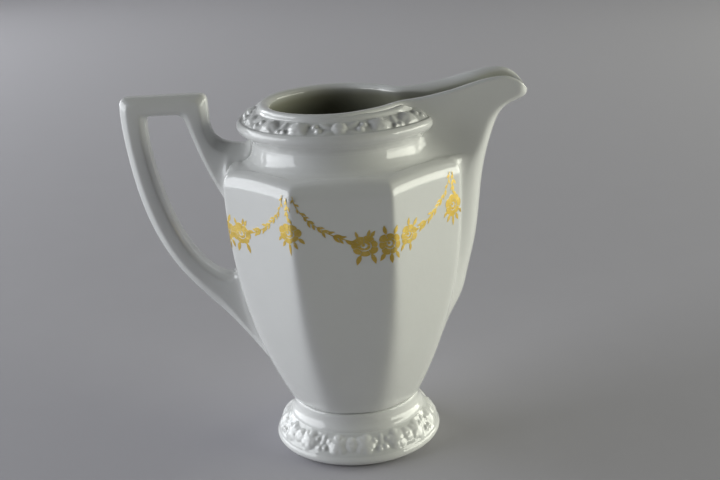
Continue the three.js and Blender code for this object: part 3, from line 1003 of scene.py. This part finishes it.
class Transfer:
    """A gilt transfer: thin leaves and petals laid on the vessel's wall, drawn flat as (distance, height)."""

    SUNK, PROUD = -0.05, 0.07  # the film's underside and its face, from the wall

    def __init__(self, side):
        self.side = side
        self.points, self.faces, self.normals = [], [], []

    @staticmethod
    def wall_points(angle, z, lift=0.0):
        flat_angle, flat_z = angle.ravel(), z.ravel()
        radius = outer_radius(flat_angle, flat_z, body_radius(flat_angle, flat_z)).reshape(z.shape)
        return from_polar(radius + lift, angle, z)

    def patch(self, grid):
        """Lays a grid of flat points on the wall as a closed film."""
        grid = np.asarray(grid, float)
        rows, columns = grid.shape[:2]
        distance, z = grid[..., 0], grid[..., 1]
        angle = self.side * np.interp(distance, WALL_DISTANCE, FINE_ANGLES)
        wall = self.wall_points(angle, z)
        aside, above = self.wall_points(angle + 0.004, z), self.wall_points(angle, z + 0.15)
        outward = unit(np.cross(aside - wall, above - wall)).reshape(-1, 3)
        start = len(self.points)
        for lift in (self.SUNK, self.PROUD):
            self.points.extend(self.wall_points(angle, z, lift).reshape(-1, 3))
            self.normals.extend(outward)
        under, over = start, start + rows * columns
        faces = [tuple(face) for face in grid_faces(rows, columns, closed=False, offset=over)]
        faces += [face[::-1] for face in grid_faces(rows, columns, closed=False, offset=under)]
        rim = list(range(columns))
        rim += [r * columns + columns - 1 for r in range(1, rows)]
        rim += [(rows - 1) * columns + c for c in range(columns - 2, -1, -1)]
        rim += [r * columns for r in range(rows - 2, 0, -1)]
        for a, b in zip(rim, rim[1:] + rim[:1]):
            faces.append((under + a, under + b, over + b, over + a))
        a, b = grid[1, 1] - grid[1, 0], grid[1, 0] - grid[0, 0]
        turned = self.side * (a[0] * b[1] - a[1] * b[0]) < 0
        self.faces += [face[::-1] for face in faces] if turned else faces

    def ribbon(self, spine, widths):
        """A band about a flat curve, as wide as widths says at each point."""
        spine = np.asarray(spine, float)
        way = unit(np.gradient(spine, axis=0))
        side = np.stack([-way[:, 1], way[:, 0]], -1)
        half = np.asarray(widths, float)[:, None] / 2
        self.patch(np.stack([spine - side * half, spine, spine + side * half], 1))

    def leaf(self, root, degrees, length, wide, curl=0.0):
        """A pointed leaf from its root, which bends by curl degrees."""
        t = np.linspace(0, 1, 9)
        heading = math.radians(degrees) + math.radians(curl) * t
        step = length / (len(t) - 1)
        way = np.stack([np.cos(heading), np.sin(heading)], -1)
        spine = np.array(root) + np.concatenate([[[0, 0]], np.cumsum(way[:-1] * step, 0)])
        width = wide * np.sin(math.pi * np.clip(t, 0.03, 0.985) ** 0.85) ** 0.9
        self.ribbon(spine, width)

    def petal(self, centre, degrees, inner, outer, spread_degrees, squash, lobe):
        """A petal between two radii with a hairline gap each side, and its outer end lobed."""
        across = np.linspace(-1, 1, 7)
        grid = []
        for t in np.linspace(0, 1, 5):
            radius = mix(inner, outer, t)
            half = math.radians(spread_degrees / 2) - 0.07 / radius
            angle = math.radians(degrees) + across * half
            reach = radius - outer * lobe * t**3 * across**2
            aside, above = reach * np.cos(angle), squash * reach * np.sin(angle)
            grid.append(np.stack([centre[0] + aside, centre[1] + above], -1))
        self.patch(grid)

    def disc(self, centre, radius):
        turn = np.linspace(0, 2 * math.pi, 17)
        grid = [
            np.stack([centre[0] + r * np.cos(turn), centre[1] + r * np.sin(turn)], -1)
            for r in (radius * 0.02, radius * 0.55, radius)
        ]
        self.patch(grid)

    def rose(self, centre, wide, high, turn=0.0):
        """A full-blown rose: seven lobed petals round four smaller ones, with a bare crescent for its eye."""
        size, squash = wide / 2, high / wide
        shift = np.array([0.10, 0.08]) * size
        heart = np.array(centre) + shift
        for i in range(7):
            reach = size * (0.97 + 0.06 * math.sin(i * 2.4 + turn))
            self.petal(centre, turn + i * 360 / 7, size * 0.51, reach * 1.05, 360 / 7, squash, 0.11)
        for i in range(4):
            inner = heart - shift * 0.6
            self.petal(inner, turn + 35 + i * 90, size * 0.25, size * 0.48, 90, squash, 0.05)
        self.disc(heart, size * 0.13)

    def piece(self, name, nodes):
        make_piece(name, self.points, self.faces, GILDING, nodes, np.array(self.normals))


SWAG_SPAN = 81.0
SWAG_TOP = 101.8
SWAG_SAG = 17.4


def swag_point(start, way, along):
    """A point on the garland's stem, as (distance, height)."""
    sag = 4 * along * (1 - along)
    degrees = start + way * SWAG_SPAN * along
    distance = np.interp(np.radians(degrees), FINE_ANGLES, WALL_DISTANCE)
    return np.stack([distance, SWAG_TOP - SWAG_SAG * np.clip(sag, 0, 1) ** 0.56], -1)


def leafy_stem(transfer, spine, first_size, last_size):
    """A thin stem with pointed leaves to both sides of it, growing towards its end."""
    transfer.ribbon(spine, np.linspace(0.22, 0.36, len(spine)))
    length = np.concatenate([[0], np.cumsum(np.linalg.norm(np.diff(spine, axis=0), axis=1))])
    here, i = 1.6, 0
    while here < length[-1]:
        steps = np.array([here - 0.6, here])
        root, ahead = np.stack([np.interp(steps, length, spine[:, k]) for k in (0, 1)], -1)
        heading = math.degrees(math.atan2(*(ahead - root)[::-1]))
        share = here / length[-1]
        size = mix(first_size, last_size, share**0.8) * (1 + 0.14 * math.sin(i * 2.7))
        for turn in (1, -1):
            lean = 36 + 11 * math.sin(i * 2.4 + turn)
            if (share > 0.3 and i % 3) or (i + (turn > 0)) % 2:
                transfer.leaf(root, heading + turn * lean, size, size * 0.34, -turn * 22)
        here += mix(1.6, 2.15, share)
        i += 1


def leaf_fan(transfer, centre, reach, headings, length):
    """Leaves that stand out round a rose."""
    for k, heading in enumerate(headings):
        angle = math.radians(heading)
        root = np.array(centre) + np.array([math.cos(angle) * reach[0], math.sin(angle) * reach[1]]) * 0.93
        size = length * (1 + 0.16 * math.sin(k * 2.3 + heading))
        transfer.leaf(root, heading + 14 * math.sin(k * 1.9), size, size * 0.42, 20 * (-1) ** k)


# The headings, in degrees, of the leaves that stand out above and below each rose of a swag.
LEAVES_ABOVE = ((62, 104, 121), (70, 112), (88, 124))
LEAVES_BELOW = ((240, 288), (236, 262, 300), (262, 305))


def make_swag(name, node, side, start, way, roses, last=1.0):
    """Leafy stems come down from the corners to the roses in the middle.

    A swag that the handle cuts short ends at last, a share of the way along, and has one stem.
    """
    transfer = Transfer(side)
    first, final = roses[0][0], roses[-1][0]
    for begin, end in ((0.0, first - 0.045), (1.0, final + 0.035)):
        if begin <= last:
            leafy_stem(transfer, swag_point(start, way, np.linspace(begin, end, 60)), 1.3, 3.1)
    for i, (along, height, wide, high, turn) in enumerate(roses):
        centre = [swag_point(start, way, np.array([along]))[0][0], height]
        transfer.rose(centre, wide, high, turn)
        leaf_fan(transfer, centre, (wide / 2, high / 2), LEAVES_ABOVE[i], 2.7)
        leaf_fan(transfer, centre, (wide / 2, high / 2), LEAVES_BELOW[i], 3.2)
    transfer.piece(name, [node])


def make_drop(name, node, side, degrees, top, rose_z, wide, high, tail):
    """A sprig, one rose and a leafy tail, straight down."""
    transfer = Transfer(side)
    middle = distance_at(degrees)
    z = np.linspace(top, rose_z + high * 0.55, 24)
    leafy_stem(transfer, np.stack([middle + 0.2 * np.sin(z), z], -1), 1.4, 2.6)
    transfer.rose((middle, rose_z), wide, high, 20)
    leaf_fan(transfer, (middle, rose_z), (wide / 2, high / 2), (214, 243, 300, 330), 2.6)
    transfer.leaf((middle, rose_z - high * 0.45), -92, rose_z - high * 0.45 - tail, 1.0)
    transfer.piece(name, [node])


def make_gilding():
    """Swags over the sides and drops at the corners, the same on both sides of the jug."""
    # Each rose: its place along the swag, its height, its width and depth, and its turn in degrees.
    front = [(0.378, 84.1, 8.9, 6.9, 10.0), (0.515, 84.5, 7.5, 7.3, 40.0), (0.646, 85.7, 7.6, 6.5, 5.0)]
    behind = [(0.39, 84.9, 9.0, 7.2, 25.0), (0.515, 84.9, 7.5, 7.3, 0.0)]
    side_corner = 5 * CORNER

    # Each drop: degrees from the spout, its top, its rose's height, width and depth, and its tail's end.
    spout_drop = (CORNER + 5.5, 101.5, 90.2, 7.2, 7.6, 83.0)
    side_drop = (side_corner + 1.6, 101.2, 89.5, 8.2, 6.6, 82.0)
    for name, side in (("left", 1), ("right", -1)):
        swag, handle_swag = f"gilt_swag_{name}", f"gilt_handle_swag_{name}"
        make_swag(f"{swag}_leaf", swag, side, side_corner - 1.5, -1, front)
        make_swag(f"{handle_swag}_leaf", handle_swag, side, side_corner + 4, 1, behind, 0.68)
        for node, sizes in ((f"gilt_drop_spout_{name}", spout_drop), (f"gilt_drop_side_{name}", side_drop)):
            make_drop(f"{node}_leaf", node, side, *sizes)


# ---------------------------------------------------------------- stage, light and camera
def make_stage():
    """A card floor that sweeps up behind the jug."""
    mesh = bpy.data.meshes.new("floor")
    wide, deep, rise, bend = 3.0, 2.2, 2.4, 0.6
    profile = [(-1.6, 0.0)]
    for turn in np.linspace(0, math.pi / 2, 17):
        profile.append((deep - bend + bend * math.sin(turn), bend * (1 - math.cos(turn))))
    profile.append((deep, rise))
    points = [(x, y, z) for y, z in profile for x in (-wide, wide)]
    faces = [(2 * i, 2 * i + 1, 2 * i + 3, 2 * i + 2) for i in range(len(profile) - 1)]
    mesh.from_pydata(points, [], faces)
    for polygon in mesh.polygons:
        polygon.use_smooth = True
    mesh.materials.append(floor_finish())
    floor = bpy.data.objects.new("floor", mesh)
    bpy.context.scene.collection.objects.link(floor)


def add_window(name, place, aim, size, watts, colour):
    data = bpy.data.lights.new(name, "AREA")
    data.shape = "RECTANGLE"
    data.size, data.size_y = size
    data.energy = watts
    data.color = colour
    light = bpy.data.objects.new(name, data)
    light.location = place
    light.rotation_euler = (Vector(aim) - Vector(place)).to_track_quat("-Z", "Y").to_euler()
    bpy.context.scene.collection.objects.link(light)


def make_light():
    """Two tall windows, one each side, in a dim room."""
    add_window("window_left", (-1.1, 0.31, 0.42), (0, 0.31, 0.42), (1.87, 0.84), 23, (0.94, 0.97, 1.0))
    add_window("window_right", (1.1, 0.13, 0.26), (0, 0.13, 0.26), (1.5, 0.5), 15.5, (0.985, 1.0, 0.87))
    world = bpy.data.worlds.new("room")
    world.use_nodes = True
    background = world.node_tree.nodes["Background"]
    background.inputs["Color"].default_value = (0.95, 0.95, 1.0, 1)
    background.inputs["Strength"].default_value = 0.006
    bpy.context.scene.world = world
    bpy.context.scene.view_settings.view_transform = "Standard"


def make_camera():
    """At the height of a person looking down on a table, tipped a little to the right."""
    data = bpy.data.cameras.new("camera")
    data.sensor_width = 36.0
    data.lens = 59.9
    camera = bpy.data.objects.new("camera", data)
    yaw, pitch, roll = math.radians(-1.0), math.radians(18.32), math.radians(3.51)
    forward = Vector((math.sin(yaw) * math.cos(pitch), math.cos(yaw) * math.cos(pitch), -math.sin(pitch)))
    level_right = Vector((math.cos(yaw), -math.sin(yaw), 0))
    level_up = level_right.cross(forward)
    right = math.cos(roll) * level_right - math.sin(roll) * level_up
    up = math.sin(roll) * level_right + math.cos(roll) * level_up
    turn = Matrix((right, up, -forward)).transposed()
    place = Vector((AXIS_X + 11.5, -397.2, 204.9)) * MM
    camera.matrix_world = Matrix.Translation(place) @ turn.to_4x4()
    bpy.context.scene.collection.objects.link(camera)
    bpy.context.scene.camera = camera


make_camera()
jug_skin = make_vessel_and_spout()
make_handle(jug_skin)
make_foot()
make_foot_frieze()
make_rim_frieze()
make_gilding()
make_stage()
make_light()
